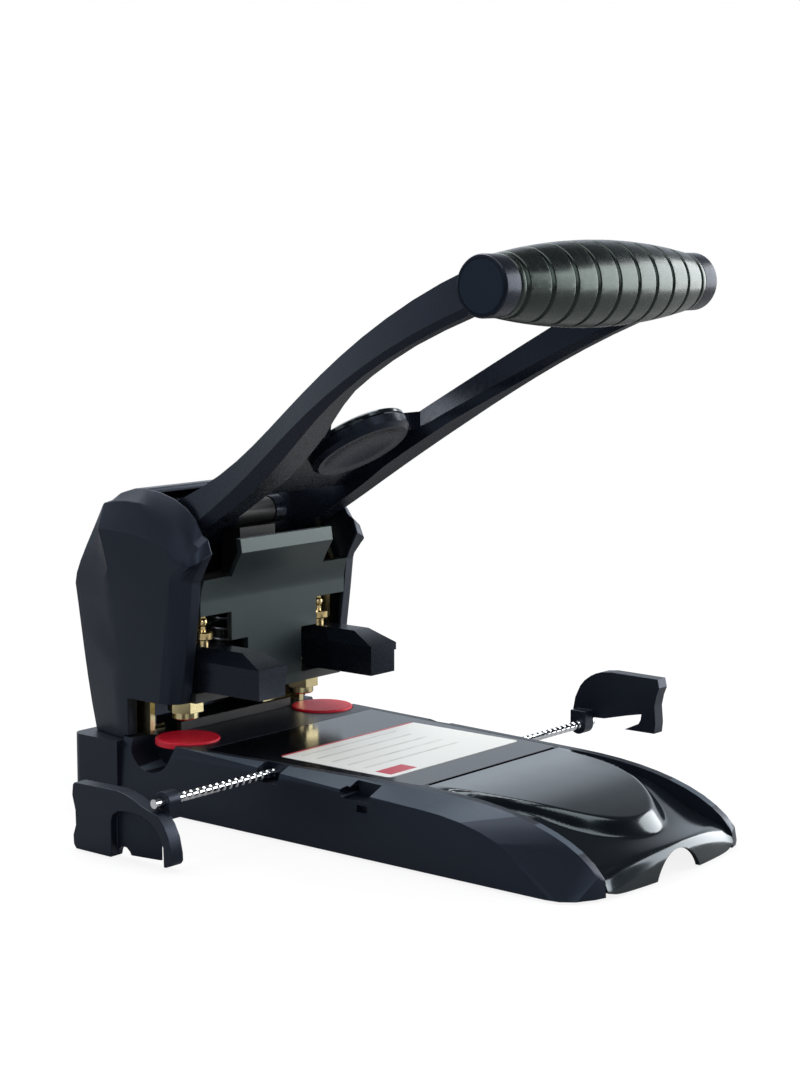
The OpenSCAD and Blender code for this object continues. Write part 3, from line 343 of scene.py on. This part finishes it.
def report(piece: bpy.types.Object) -> None:
    """Reports a finished piece."""
    LOG.info("%s: %d faces", piece.name, len(piece.data.polygons))


def select_only(piece: bpy.types.Object) -> None:
    """Leaves one piece selected and active.

    Args:
        piece: The piece.
    """
    bpy.ops.object.select_all(action="DESELECT")
    piece.select_set(True)
    bpy.context.view_layer.objects.active = piece


def paint(piece: bpy.types.Object, material: bpy.types.Material) -> None:
    """Gives a piece one material."""
    piece.data.materials.clear()
    piece.data.materials.append(material)


def paint_slopes(piece: bpy.types.Object, material: bpy.types.Material, low: float,
                 high: float = math.inf) -> None:
    """Gives the faces of one range of slopes a second material.

    Args:
        piece: A finished piece with one material.
        material: The second material.
        low: Z of a face's normal above which the range begins.
        high: Z of a face's normal at which it ends.
    """
    piece.data.materials.append(material)
    for face in piece.data.polygons:
        face.material_index = int(low < face.normal.z < high)


def modify(kind: str, **settings: Any) -> None:
    """Adds one modifier to the active piece and applies it.

    Args:
        kind: Blender's name for the modifier.
        **settings: Properties of the modifier.
    """
    bpy.ops.object.modifier_add(type=kind)
    added = bpy.context.object.modifiers[-1]
    for key, value in settings.items():
        setattr(added, key, value)
    bpy.ops.object.modifier_apply(modifier=added.name)


def soften(edge_mm: float, segments: int, edge_angle: float, smooth_angle: float) -> None:
    """Breaks the sharp edges of the active piece and shades its curves smooth.

    Args:
        edge_mm: Width of a broken edge in millimetres.
        segments: Faces across a broken edge.
        edge_angle: Angle in degrees from which an edge is broken.
        smooth_angle: Angle in degrees up to which faces are shaded as one.
    """
    modify("BEVEL", width=edge_mm * MM, segments=segments, limit_method="ANGLE",
           angle_limit=math.radians(edge_angle), miter_outer="MITER_ARC")
    bpy.ops.object.shade_smooth_by_angle(angle=math.radians(smooth_angle))
    modify("WEIGHTED_NORMAL", keep_sharp=True)


def stand_in(piece: bpy.types.Object, node: str, material: bpy.types.Material) -> None:
    """Dresses a finished piece and puts it in the place of a CAD node.

    Args:
        piece: The finished piece.
        node: Name of the node that it replaces.
        material: Its finish.
    """
    paint(piece, material)
    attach(piece, body_of(node))
    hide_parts(node)
    report(piece)


def dress(material: bpy.types.Material, *nodes: str) -> None:
    """Gives CAD nodes that keep their mesh a finish.

    Args:
        material: The finish.
        *nodes: Names of the nodes.
    """
    for node in nodes:
        paint(frame["nodes"][node], material)
        LOG.info("%s: %s", node, material.name)


@dataclass
class Moulding:
    """A softened copy of a CAD node: doubles merged, flats joined, edges broken, curves smooth.

    Angles are in degrees.
    """

    node: str
    material: bpy.types.Material
    edge_mm: float = 0.6
    segments: int = 2
    edge_angle: float = 28.0
    smooth_angle: float = 32.0
    flat_angle: float = 0.6
    merge_mm: float = 0.01

    def build(self) -> bpy.types.Object:
        """Makes the copy and puts it in the node's place.

        Returns:
            The finished piece.
        """
        mesh = frame["nodes"][self.node].data.copy()
        piece = bpy.data.objects.new(f"{self.node}_moulding", mesh)
        bpy.context.scene.collection.objects.link(piece)
        select_only(piece)
        bpy.ops.object.mode_set(mode="EDIT")
        bpy.ops.mesh.select_all(action="SELECT")
        bpy.ops.mesh.remove_doubles(threshold=self.merge_mm * MM)
        bpy.ops.mesh.dissolve_limited(angle_limit=math.radians(self.flat_angle))
        bpy.ops.object.mode_set(mode="OBJECT")
        bpy.ops.mesh.customdata_custom_splitnormals_clear()
        soften(self.edge_mm, self.segments, self.edge_angle, self.smooth_angle)
        stand_in(piece, self.node, self.material)
        return piece


@dataclass
class Base:
    """Base shell, deck with its label, cutting discs, paper stop and what is under them.

    The bands with painted light and the stop's ground edge are picked by the Z of their faces'
    normals.
    """

    shell_edge_mm: float = 0.7
    deck_edge_mm: float = 0.25
    disc_edge_mm: float = 0.3
    stop_edge_mm: float = 0.3
    stop_ground: float = 0.5
    band_low: float = 0.84
    band_high: float = 0.97
    label_half_mm: float = 46.5
    label_rear_mm: float = -57.0
    label_front_mm: float = -121.0
    label_corner_mm: float = 2.5
    label_corner_faces: int = 6
    label_thick_mm: float = 0.15
    label_gap_mm: float = 0.02
    label_smooth_angle: float = 30.0

    def build(self) -> None:
        """Builds and dresses the pieces of the base."""
        self.shell()
        Moulding("deck_plate", DECK_ENAMEL.material(), self.deck_edge_mm).build()
        for side in Side:
            Moulding(f"cutting_disc_{side.value}", RED_PE.material(), self.disc_edge_mm).build()
        dress(MAT_RUBBER.material(), "base_mat")
        dress(CLEAR_ZINC.material(), "base_plate", "base_screws")
        self.stop()
        self.label()

    def shell(self) -> None:
        """Makes the base shell, with painted light on its sloping bands: they get a lighter grey, as
        if lit more.
        """
        piece = Moulding("base_shell", BLACK_ABS.material(), self.shell_edge_mm, segments=3,
                         smooth_angle=40).build()
        # Painted light: the sloping bands take a lighter grey that stands in for the light they catch
        paint_slopes(piece, LIT_BAND_ABS.material(), self.band_low, self.band_high)

    def stop(self) -> None:
        """Makes the paper stop: blackened, with its upper edge ground bright."""
        piece = Moulding("paper_stop", BLACK_OXIDE.material(), self.stop_edge_mm).build()
        paint_slopes(piece, GROUND_STEEL.material(), self.stop_ground)

    def label(self) -> None:
        """Makes the label on the deck."""
        rear, front = self.label_rear_mm * MM, self.label_front_mm * MM
        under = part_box("deck_plate")[1].z + self.label_gap_mm * MM
        bpy.ops.object.select_all(action="DESELECT")
        bpy.ops.mesh.primitive_plane_add(size=1, location=(0, (rear + front) / 2, under))
        piece = bpy.context.object
        piece.name = "deck_label"
        piece.scale = (2 * self.label_half_mm * MM, rear - front, 1)
        bpy.ops.object.transform_apply(location=True, rotation=True, scale=True)
        bpy.ops.object.mode_set(mode="EDIT")
        bpy.ops.mesh.select_all(action="SELECT")
        bpy.ops.mesh.bevel(offset=self.label_corner_mm * MM, segments=self.label_corner_faces,
                           affect="VERTICES")
        bpy.ops.mesh.select_all(action="SELECT")
        bpy.ops.mesh.extrude_region_move(
            TRANSFORM_OT_translate={"value": (0, 0, self.label_thick_mm * MM)})
        bpy.ops.mesh.select_all(action="SELECT")
        bpy.ops.mesh.normals_make_consistent(inside=False)
        bpy.ops.object.mode_set(mode="OBJECT")
        bpy.ops.object.shade_smooth_by_angle(angle=math.radians(self.label_smooth_angle))
        paint(piece, LabelPrint(self.label_rear_mm).material())
        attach(piece, "base")
        report(piece)


@dataclass
class Tower:
    """Frame plates, covers, punches, bushes, springs and release levers."""

    cover_edge_mm: float = 0.8
    lever_edge_mm: float = 2.2
    frame_edge_mm: float = 0.25
    nut_edge_mm: float = 0.4
    spring_edge_mm: float = 0.1
    stroke_mm: float = 10.0

    def build(self) -> None:
        """Builds and dresses the pieces of the tower."""
        black, lever = BLACK_ABS.material(), LEVER_ABS.material()
        for side in Side:
            Moulding(f"side_cover_{side.value}", black, self.cover_edge_mm, edge_angle=19,
                     smooth_angle=17).build()
            Moulding(f"release_lever_{side.value}", lever, self.lever_edge_mm, segments=3).build()
        Moulding("rear_cover", black, self.cover_edge_mm).build()
        Moulding("front_cover", GREY_ABS.material(), self.cover_edge_mm).build()
        gold = YELLOW_ZINC.material()
        for side in Side:
            Moulding(f"frame_{side.value}", gold, self.frame_edge_mm).build()
            Moulding(f"guide_nut_{side.value}", gold, self.nut_edge_mm).build()
            dress(gold, f"guide_bush_{side.value}")
            dress(TURNED_BRASS.material(), f"lever_post_{side.value}")
            dress(GROUND_STEEL.material(), f"punch_{side.value}")
            self.spring(f"return_spring_{side.value}")
        dress(CLEAR_ZINC.material(), "foot_bolts", "bridge_screws", "shaft_clips")
        dress(BLACK_OXIDE.material(), "lower_bridge", "pivot_shaft", "spring_posts", "crosshead")

    def spring(self, node: str) -> None:
        """Makes one return spring.

        Args:
            node: Name of the spring's CAD node.
        """
        piece = Moulding(node, SPRING_WIRE.material(), self.spring_edge_mm, edge_angle=80,
                         smooth_angle=70).build()
        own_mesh(piece)


@dataclass
class Handle:
    """Forked handle with its boss, lid, ribbed grip and press roller."""

    arm_edge_mm: float = 1.4
    rib_edge_mm: float = 0.5
    cap_edge_mm: float = 0.5

    def build(self) -> None:
        """Builds and dresses the pieces of the handle."""
        Moulding("handle_frame", HANDLE_POWDER.material(), self.arm_edge_mm, segments=3,
                 edge_angle=34, smooth_angle=34).build()
        Moulding("grip_sleeve", GRIP_TPE.material(), self.rib_edge_mm, edge_angle=20,
                 smooth_angle=24).build()
        for side in Side:
            Moulding(f"grip_cap_{side.value}", CAP_ABS.material(), self.cap_edge_mm).build()
        dress(GLOSS_ABS.material(), "boss_lid")
        dress(BLACK_OXIDE.material(), "press_roller", "roller_pin")
        dress(GROUND_STEEL.material(), "grip_core")


@dataclass
class Guides:
    """Chrome rods and the paper guides on them."""

    edge_mm: float = 0.9

    def build(self) -> None:
        """Builds and dresses the rods and guides."""
        for side in Side:
            Moulding(f"paper_guide_{side.value}", BLACK_ABS.material(), self.edge_mm, segments=3,
                     smooth_angle=40).build()
            dress(CHROME.material(), f"guide_rod_{side.value}")


@dataclass
class Drawer:
    """Glossy hood with its finger cut, and the tray behind it.

    The hood is a thin shell: a flat tongue that runs out in an ellipse, a hollow on each side of
    it, and a front apron that rolls over a bowed crease. Ways run from its rear edge, and heights
    from the deck, apart from those of the foot and the finger cut, which run from the table.
    """

    wall_mm: float = 2.2
    edge_mm: float = 0.35
    edge_faces: int = 2
    columns: int = 96
    rows: int = 104
    tongue_mm: float = 79.0
    tongue_inset_mm: float = 1.7
    tongue_edge: float = 0.1
    tongue_fillet: float = 0.2
    crease_mm: float = 94.0
    crease_bow_mm: float = 9.0
    crease_drop_mm: float = 2.6
    roll_mm: float = 3.0
    apron_share: float = 0.14
    apron_reach: float = 0.85
    apron_drop_mm: float = 2.0
    foot_mm: float = 95.3
    foot_bow_mm: float = 3.6
    foot_high_mm: float = 1.0
    foot_lift_mm: float = 2.8
    foot_power: int = 16
    skirt_mm: float = 0.5
    finger_r_mm: float = 17.5
    finger_z_mm: float = -6.0
    finger_deep_mm: float = 30.0
    finger_sides: int = 96
    tongue_line: tuple[tuple[float, float], ...] = (
        (0, 0), (20, 0), (36, -1.0), (50, -2.9), (64, -6.3), (80, -11.0), (100, -17.0))
    hollow_line: tuple[tuple[float, float], ...] = (
        (0, 0), (9, -0.4), (20, -2.5), (38, -5.0), (55, -7.5), (68, -12.0), (80, -16.0),
        (94, -18.8))

    def build(self) -> None:
        """Builds and dresses the drawer."""
        self.hood()
        dress(GLOSS_ABS.material(), "drawer_tray")

    @staticmethod
    def read(line: tuple[tuple[float, float], ...], way: float) -> float:
        """Reads a smooth curve through the points of a line.

        Args:
            line: Points as way and height, in millimetres.
            way: Way from the rear edge in millimetres.

        Returns:
            The height in millimetres.
        """
        i = max(0, min(len(line) - 2, sum(point[0] <= way for point in line) - 1))
        slopes = []
        for k in (i, i + 1):
            a, b = line[max(k - 1, 0)], line[min(k + 1, len(line) - 1)]
            slopes.append((b[1] - a[1]) / (b[0] - a[0]))
        (x0, z0), (x1, z1) = line[i], line[i + 1]
        t, step = min(1.0, max(0.0, (way - x0) / (x1 - x0))), x1 - x0
        return ((1 + 2 * t) * (1 - t) ** 2 * z0 + t * (1 - t) ** 2 * step * slopes[0]
                + t * t * (3 - 2 * t) * z1 + t * t * (t - 1) * step * slopes[1])

    def ramp(self, share: float) -> float:
        """Gives a straight slope from 0 to 1 that is rounded at both ends.

        Args:
            share: Place on the slope, from 0 at its foot to 1 at its top.

        Returns:
            The share of the slope's height.
        """
        fillet = self.tongue_fillet
        near = min(share, 1 - share)
        if near < fillet:
            rise = near ** 2 / (2 * fillet * (1 - fillet))
        else:
            rise = (near - fillet / 2) / (1 - fillet)
        return rise if share < 0.5 else 1 - rise

    def skin(self, side: float, half: float, way: float) -> float:
        """Gives the height of the hood behind its crease.

        Args:
            side: Place across, from -1 at the left to 1 at the right.
            half: Half of the hood's width in millimetres.
            way: Way from the rear edge in millimetres.

        Returns:
            The height over the deck in millimetres.
        """
        crease = self.crease_mm - self.crease_bow_mm * side ** 2
        reach = math.hypot(side * half / (half - self.tongue_inset_mm), way / self.tongue_mm)
        part = self.ramp(min(1.0, max(0.0, (1 - reach) / self.tongue_edge + 0.5)))
        hollow = self.read(self.hollow_line, way * self.crease_mm / crease)
        hollow -= self.crease_drop_mm * side ** 2 * (way / crease) ** 4
        return hollow + (self.read(self.tongue_line, way) - hollow) * part

    def place(self, side: float, half: float, along: float, deck: float) -> tuple[float, float]:
        """Gives way and height of one point of the hood.

        Args:
            side: Place across, from -1 at the left to 1 at the right.
            half: Half of the hood's width in millimetres.
            along: Place along the shell, from 0 at its rear edge to 1 at the apron's foot.
            deck: Height of the deck in millimetres.

        Returns:
            Way from the rear edge and height over the table, in millimetres.
        """
        crease = self.crease_mm - self.crease_bow_mm * side ** 2
        start = crease - self.roll_mm
        t = (along - 1 + self.apron_share) / self.apron_share
        if t <= 0:
            way = start * along / (1 - self.apron_share)
            return way, deck + self.skin(side, half, way)
        # The apron is a Bezier curve from the start of the roll over the crease to the foot
        foot = self.foot_mm - self.foot_bow_mm * side ** 2
        under = self.foot_high_mm + self.foot_lift_mm * side ** self.foot_power
        top = deck + self.skin(side, half, crease)
        ways = (start, crease, crease + self.apron_reach * (foot - crease), foot)
        heights = (deck + self.skin(side, half, start), top, top - self.apron_drop_mm, under)
        shares = ((1 - t) ** 3, 3 * t * (1 - t) ** 2, 3 * t * t * (1 - t), t ** 3)
        return sum(map(math.prod, zip(shares, ways))), sum(map(math.prod, zip(shares, heights)))

    def hood(self) -> None:
        """Forms the hood's shell and side skirts from a grid and cuts the finger arch."""
        low, high = (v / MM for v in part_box("drawer_hood"))
        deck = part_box("deck_plate")[1].z / MM
        bpy.ops.object.select_all(action="DESELECT")
        bpy.ops.mesh.primitive_grid_add(
            x_subdivisions=self.columns + 2, y_subdivisions=self.rows, size=2)
        piece = bpy.context.object
        piece.name = "drawer_hood_moulding"
        for point in (v.co for v in piece.data.vertices):
            column = round((point.x + 1) / 2 * (self.columns + 2)) - 1
            side = min(1.0, max(-1.0, 2 * column / self.columns - 1))
            way, height = self.place(side, high.x, (1 - point.y) / 2, deck)
            if not 0 <= column <= self.columns:
                height = min(height - self.skirt_mm, low.z)
            point[:] = (side * high.x * MM, (high.y - way) * MM, height * MM)
        modify("SOLIDIFY", thickness=self.wall_mm * MM, offset=-1.0, use_even_offset=True)
        bpy.ops.object.select_all(action="DESELECT")
        bpy.ops.mesh.primitive_cylinder_add(
            vertices=self.finger_sides, radius=self.finger_r_mm * MM,
            depth=2 * self.finger_deep_mm * MM,
            location=(0, low.y * MM, self.finger_z_mm * MM), rotation=(math.pi / 2, 0, 0))
        cutter = bpy.context.object
        bpy.ops.object.transform_apply(location=True, rotation=True, scale=True)
        select_only(piece)
        modify("BOOLEAN", operation="DIFFERENCE", solver="EXACT", object=cutter)
        bpy.data.objects.remove(cutter)
        soften(self.edge_mm, self.edge_faces, edge_angle=50, smooth_angle=36)
        stand_in(piece, "drawer_hood", GLOSS_ABS.material())


@dataclass(frozen=True)
class SoftBox:
    """One soft box of the studio, in metres and watts."""

    name: str
    place: tuple[float, float, float]
    wide: float
    high: float
    power: float


@dataclass
class Studio:
    """Pale floor, white surroundings, soft boxes and the camera at the photograph's place.

    Places, sizes and reaches are in metres, and lens and sensor in millimetres.
    """

    floor_half: float = 6.0
    floor_tone: str = "#ffffff"
    floor_bounce: str = "#a8a8a8"
    floor_glow: float = 0.86
    shadow_near: float = 0.3
    shadow_far: float = 0.55
    flag_tone: str = "#2c2c2c"
    flag_place: tuple[float, float, float] = (0.4, 0.26, 0.0)
    flag_reach: tuple[float, float] = (0.22, 0.38)
    backdrop_tone: str = "#ffffff"
    backdrop_way: tuple[float, float, float] = (0.62, 0.78, 0.0)
    backdrop_fade: float = 0.35
    sky_tone: str = "#eaf4ff"
    sky_front: float = 0.22
    sky_top: float = 0.08
    sky_rise: tuple[float, float] = (0.25, 0.6)
    aim: tuple[float, float, float] = (0.0, -0.09, 0.12)
    eye: tuple[float, float, float] = (-0.7598, -0.7147, 0.2568)
    look: tuple[float, float, float] = (0.7648, 0.6304, -0.1330)
    lens: float = 73.32
    sensor: float = 36.0
    boxes: tuple[SoftBox, ...] = (
        SoftBox("right_box", (1.05, -0.66, 0.4), 1.1, 0.78, 14.0),
        SoftBox("rear_box", (0.2, 0.65, 1.3), 1.4, 0.9, 18.0),
        SoftBox("top_box", (0.1, -0.4, 1.3), 0.7, 1.0, 7.0),
        SoftBox("left_box", (-1.2, 0.1, 0.8), 0.8, 0.8, 2.0),
        SoftBox("front_box", (-0.9, -1.2, 0.75), 0.9, 0.9, 7.0),
    )

    def build(self) -> None:
        """Builds floor, surroundings, soft boxes and camera."""
        self.floor()
        self.surroundings()
        for box in self.boxes:
            self.lamp(box)
        self.camera()
        bpy.context.scene.view_settings.view_transform = "Standard"

    def floor(self) -> None:
        """Lays the floor: white to the camera but for the object's shadow, darker as a reflector.

        A dark flag lies on it at the right, unseen by the camera, so that the undersides of the
        arms stay dark.
        """
        bpy.ops.object.select_all(action="DESELECT")
        bpy.ops.mesh.primitive_plane_add(size=2 * self.floor_half, location=(0, 0, 0))
        floor = bpy.context.object
        floor.name = "studio_floor"
        made = empty_material("painted_floor_pale")
        tree = made.node_tree
        path = add_node(tree, "ShaderNodeLightPath")
        place = add_node(tree, "ShaderNodeTexCoord")
        away = add_node(tree, "ShaderNodeVectorMath", {
            0: place.outputs["Object"]}, operation="LENGTH")
        share = add_node(tree, "ShaderNodeMapRange", {
            "Value": away.outputs["Value"], "From Min": self.shadow_near,
            "From Max": self.shadow_far, "To Min": self.floor_glow, "To Max": 1.0})
        seen = add_node(tree, "ShaderNodeMath", {
            0: path.outputs["Is Camera Ray"], 1: share.outputs["Result"]}, operation="MULTIPLY")
        aside = add_node(tree, "ShaderNodeVectorMath", {
            0: place.outputs["Object"], 1: self.flag_place}, operation="DISTANCE")
        clear = add_node(tree, "ShaderNodeMapRange", {
            "Value": aside.outputs["Value"], "From Min": self.flag_reach[0],
            "From Max": self.flag_reach[1]})
        bounce = add_node(tree, "ShaderNodeMix", {
            0: clear.outputs["Result"], 6: linear(self.flag_tone), 7: linear(self.floor_bounce)},
            data_type="RGBA")
        tone = add_node(tree, "ShaderNodeMix", {
            0: path.outputs["Is Camera Ray"], 6: bounce.outputs[2], 7: linear(self.floor_tone)},
            data_type="RGBA")
        matt = add_node(tree, "ShaderNodeBsdfDiffuse", {"Color": tone.outputs[2]})
        glow = add_node(tree, "ShaderNodeEmission", {
            "Color": linear(self.floor_tone), "Strength": 1.0})
        mixed = add_node(tree, "ShaderNodeMixShader", {
            0: seen.outputs[0], 1: matt.outputs[0], 2: glow.outputs[0]})
        add_node(tree, "ShaderNodeOutputMaterial", {"Surface": mixed.outputs[0]})
        paint(floor, made)

    def surroundings(self) -> None:
        """Makes the surroundings: white to the camera, and a studio to reflections and light.

        The studio is white behind the object and darker in front and overhead.
        """
        world = bpy.data.worlds.new("studio_surroundings")
        bpy.context.scene.world = world
        world.use_nodes = True
        tree = world.node_tree
        tree.nodes.clear()
        path = add_node(tree, "ShaderNodeLightPath")
        way = add_node(tree, "ShaderNodeTexCoord")
        axes = add_node(tree, "ShaderNodeSeparateXYZ", {"Vector": way.outputs["Generated"]})
        facing = add_node(tree, "ShaderNodeVectorMath", {
            0: way.outputs["Generated"], 1: self.backdrop_way}, operation="DOT_PRODUCT")
        behind = add_node(tree, "ShaderNodeMapRange", {
            "Value": facing.outputs["Value"], "From Min": -self.backdrop_fade,
            "From Max": self.backdrop_fade, "To Min": self.sky_front, "To Max": 1.0},
            interpolation_type="SMOOTHSTEP")
        overhead = add_node(tree, "ShaderNodeMapRange", {
            "Value": axes.outputs["Z"], "From Min": self.sky_rise[0], "From Max": self.sky_rise[1],
            "To Min": 1.0, "To Max": self.sky_top}, interpolation_type="SMOOTHSTEP")
        room = add_node(tree, "ShaderNodeMath", {
            0: behind.outputs["Result"], 1: overhead.outputs["Result"]}, operation="MULTIPLY")
        strength = add_node(tree, "ShaderNodeMath", {
            0: room.outputs[0], 1: path.outputs["Is Camera Ray"]}, operation="MAXIMUM")
        tone = add_node(tree, "ShaderNodeMix", {
            0: path.outputs["Is Camera Ray"], 6: linear(self.sky_tone),
            7: linear(self.backdrop_tone)}, data_type="RGBA")
        sky = add_node(tree, "ShaderNodeBackground", {
            "Color": tone.outputs[2], "Strength": strength.outputs[0]})
        add_node(tree, "ShaderNodeOutputWorld", {"Surface": sky.outputs[0]})

    def lamp(self, box: SoftBox) -> None:
        """Hangs one soft box that points at the middle of the object.

        Args:
            box: Name, place, size and power of the soft box.
        """
        data = bpy.data.lights.new(box.name, "AREA")
        data.energy, data.shape = box.power, "RECTANGLE"
        data.size, data.size_y = box.wide, box.high
        lamp = bpy.data.objects.new(box.name, data)
        bpy.context.scene.collection.objects.link(lamp)
        lamp.location = box.place
        lamp.rotation_mode = "QUATERNION"
        lamp.rotation_quaternion = (Vector(self.aim) - Vector(box.place)).to_track_quat("-Z", "Y")

    def camera(self) -> None:
        """Sets the camera where the photograph was taken."""
        data = bpy.data.cameras.new("photo_camera")
        data.lens, data.sensor_width = self.lens, self.sensor
        data.dof.use_dof = False
        camera = bpy.data.objects.new("photo_camera", data)
        bpy.context.scene.collection.objects.link(camera)
        camera.location = self.eye
        camera.rotation_mode = "QUATERNION"
        camera.rotation_quaternion = Vector(self.look).to_track_quat("-Z", "Y")
        bpy.context.scene.camera = camera


def main() -> None:
    """Builds every sub-assembly in order."""
    logging.basicConfig(level=logging.INFO, format="%(name)s: %(message)s")
    for part in (Base(), Tower(), Handle(), Guides(), Drawer(), Studio()):
        part.build()
        LOG.info("%s done", type(part).__name__)


if __name__ == "__main__":
    main()
